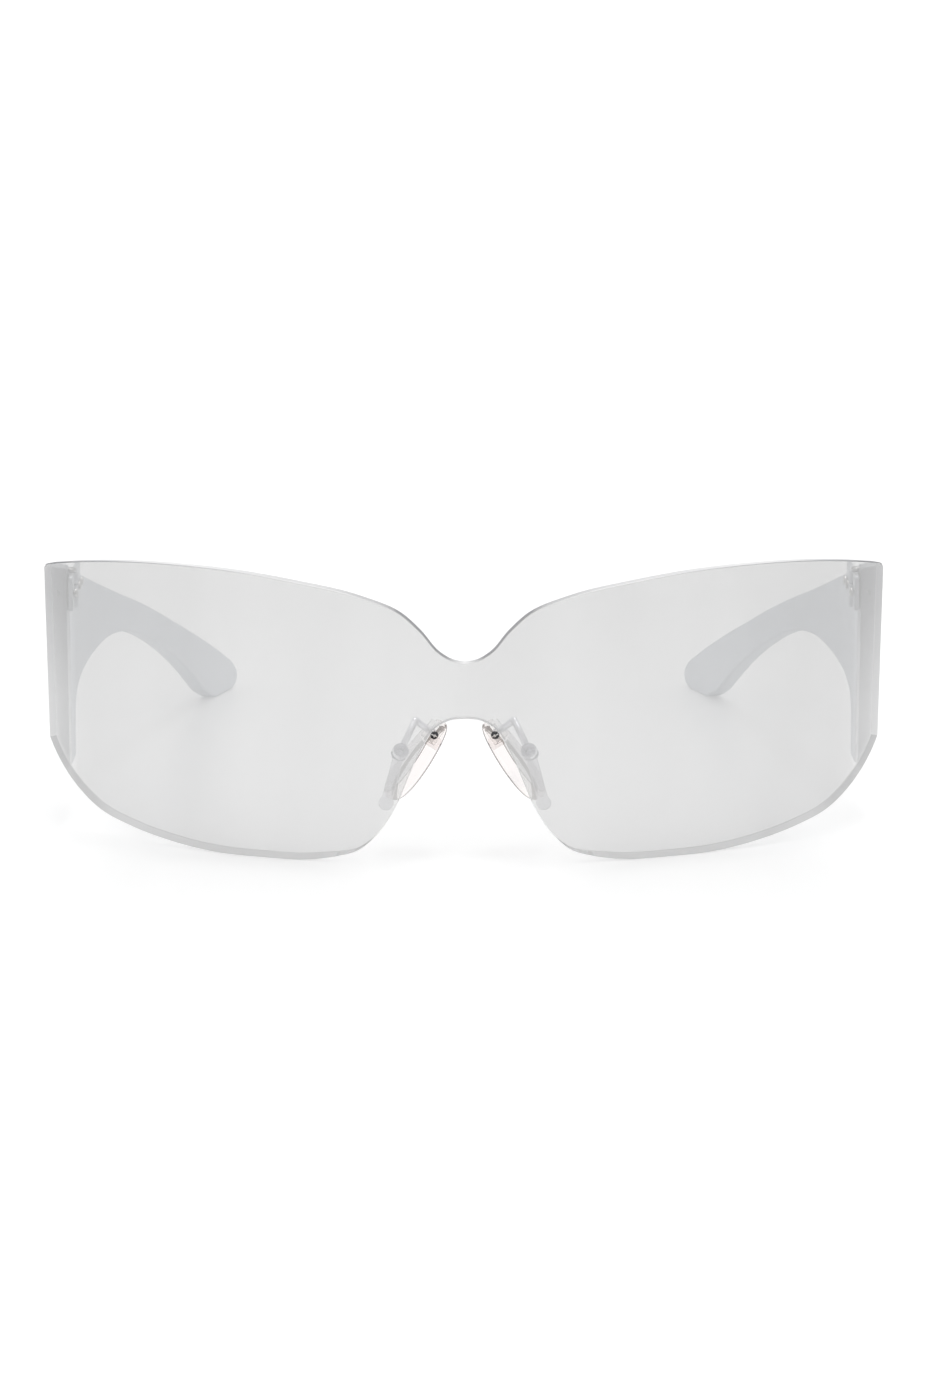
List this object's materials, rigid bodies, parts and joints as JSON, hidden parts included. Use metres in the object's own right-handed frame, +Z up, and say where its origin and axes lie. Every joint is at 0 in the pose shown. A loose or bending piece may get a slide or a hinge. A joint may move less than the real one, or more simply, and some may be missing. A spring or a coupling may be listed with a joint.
{
  "type": "sunglasses",
  "caption": "Rimless sunglasses with a curved one-piece mirrored mask lens, folding arched temples and rocking clear nose pads on wire arms.",
  "frame": {"origin": "on the table, below the middle of the bounding box, with the temples open", "axes": "+X to the wearer's left, the lens faces -Y, the temples run to +Y, +Z up"},
  "size_m": [0.1454, 0.1452, 0.0495],
  "materials": {
    "lens": "gloss, light silver mirror coating",
    "end_plastic": "gloss smoke grey",
    "temple_plastic": "satin silver",
    "hinge_metal": "satin",
    "screw_metal": "polished",
    "bracket_plastic": "gloss grey, translucent",
    "pad_silicone": "clear silicone",
    "pad_core": "clear"
  },
  "bodies": {
    "front": {"lens_shield": "lens", "end_piece_left": "end_plastic", "end_piece_right": "end_plastic", "hinge_front_left": "hinge_metal", "hinge_front_right": "hinge_metal", "hinge_front_screw_left": "screw_metal", "hinge_front_screw_right": "screw_metal", "hinge_pin_left": "screw_metal", "hinge_pin_right": "screw_metal", "nose_bracket_left": "bracket_plastic", "nose_bracket_right": "bracket_plastic", "bracket_screw_left": "screw_metal", "bracket_screw_right": "screw_metal", "pad_arm_left": "hinge_metal", "pad_arm_right": "hinge_metal"},
    "temple_left_body": {"temple_left": "temple_plastic", "hinge_rear_left": "hinge_metal", "hinge_rear_screw_1_left": "screw_metal", "hinge_rear_screw_2_left": "screw_metal"},
    "temple_right_body": {"temple_right": "temple_plastic", "hinge_rear_right": "hinge_metal", "hinge_rear_screw_1_right": "screw_metal", "hinge_rear_screw_2_right": "screw_metal"},
    "pad_left_body": {"nose_pad_left": "pad_silicone", "pad_core_left": "pad_core", "pad_screw_left": "screw_metal"},
    "pad_right_body": {"nose_pad_right": "pad_silicone", "pad_core_right": "pad_core", "pad_screw_right": "screw_metal"}
  },
  "joints": [
    {"name": "temple_left_fold", "type": "hinge", "parent": "front", "child": "temple_left_body", "pos_m": [0.0682, -0.03887, 0.0418], "axis": [0, 0, 1], "range_deg": [0, 78]},
    {"name": "temple_right_fold", "type": "hinge", "parent": "front", "child": "temple_right_body", "pos_m": [-0.0682, -0.03887, 0.0418], "axis": [0, 0, -1], "range_deg": [0, 68]},
    {"name": "pad_left_rock", "type": "hinge", "parent": "front", "child": "pad_left_body", "pos_m": [0.0056, -0.06281, 0.02114], "axis": [-0.2395, -0.9563, -0.1677], "range_deg": [-8, 8]},
    {"name": "pad_right_rock", "type": "hinge", "parent": "front", "child": "pad_right_body", "pos_m": [-0.0056, -0.06281, 0.02114], "axis": [0.2395, -0.9563, -0.1677], "range_deg": [-8, 8]}
  ]
}
